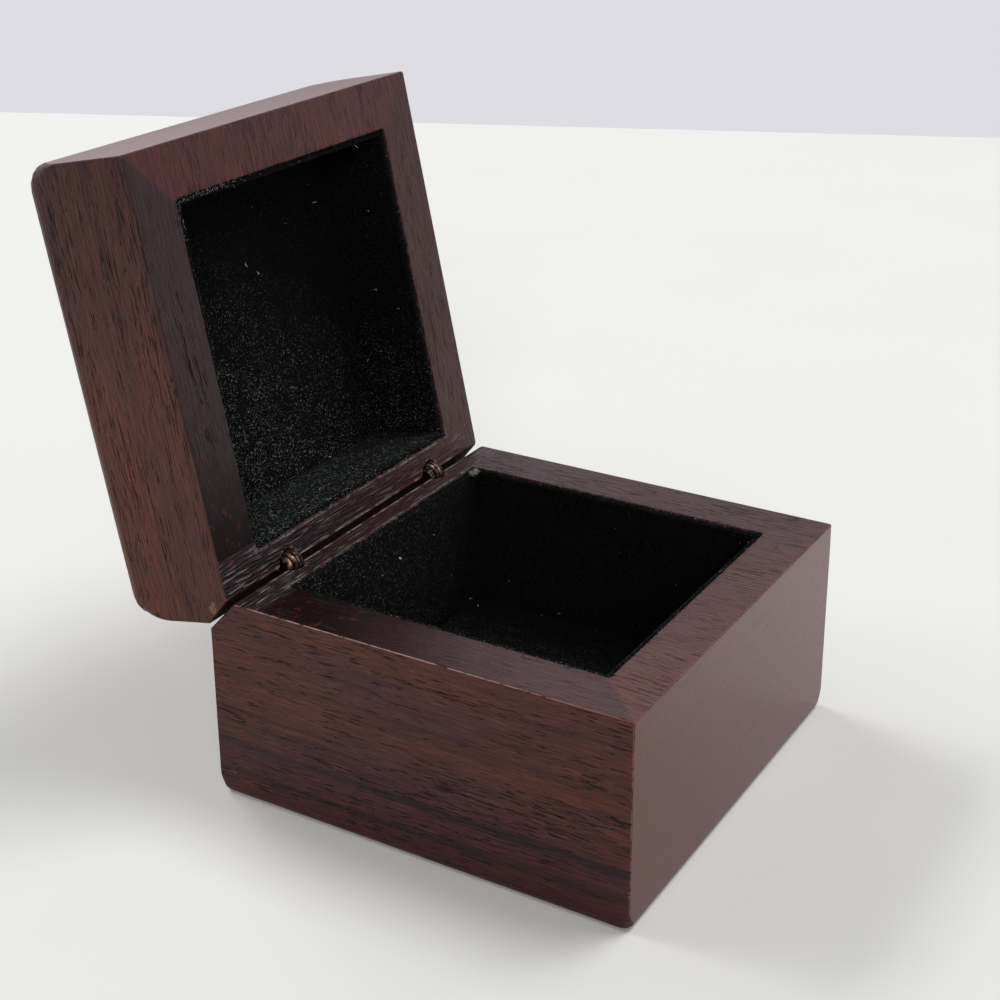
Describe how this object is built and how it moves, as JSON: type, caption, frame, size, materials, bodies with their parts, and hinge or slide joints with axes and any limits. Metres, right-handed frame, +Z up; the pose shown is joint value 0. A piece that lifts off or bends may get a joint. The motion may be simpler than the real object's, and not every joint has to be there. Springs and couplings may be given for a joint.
{
  "type": "ring display box",
  "caption": "Square stained-wood ring box whose lid opens on small barrel hinges at the rear, with black velvet-lined pockets in base and lid.",
  "frame": {"origin": "middle of the base's flat underside, which stands on the surface", "axes": "+X to the box's right along the hinges, -Y out of the front, +Z up; the lid is stored open, leaning back on its stop"},
  "size_m": [0.065, 0.0923, 0.091],
  "materials": {
    "stained_wood": "mahogany stain under a thin satin varnish",
    "black_velvet": "short-pile velvet, matt black",
    "aged_brass": "dull, slightly tarnished",
    "steel_pin": "plain drawn wire"
  },
  "bodies": {
    "base": {"base_block": "stained_wood", "base_floor_lining": "black_velvet", "base_front_lining": "black_velvet", "base_rear_lining": "black_velvet", "base_left_lining": "black_velvet", "base_right_lining": "black_velvet", "left_hinge_base_barrel": "aged_brass", "left_hinge_base_leaves": "aged_brass", "left_hinge_pin": "steel_pin", "right_hinge_base_barrel": "aged_brass", "right_hinge_base_leaves": "aged_brass", "right_hinge_pin": "steel_pin"},
    "lid": {"lid_block": "stained_wood", "lid_top_lining": "black_velvet", "lid_front_lining": "black_velvet", "lid_rear_lining": "black_velvet", "lid_left_lining": "black_velvet", "lid_right_lining": "black_velvet", "left_hinge_lid_barrel": "aged_brass", "left_hinge_lid_leaves": "aged_brass", "right_hinge_lid_barrel": "aged_brass", "right_hinge_lid_leaves": "aged_brass"}
  },
  "joints": [
    {"name": "lid_hinge", "type": "hinge", "parent": "base", "child": "lid", "pos_m": [0, 0.0291, 0.0307], "axis": [1, 0, 0], "range_deg": [0, 101.9]}
  ]
}
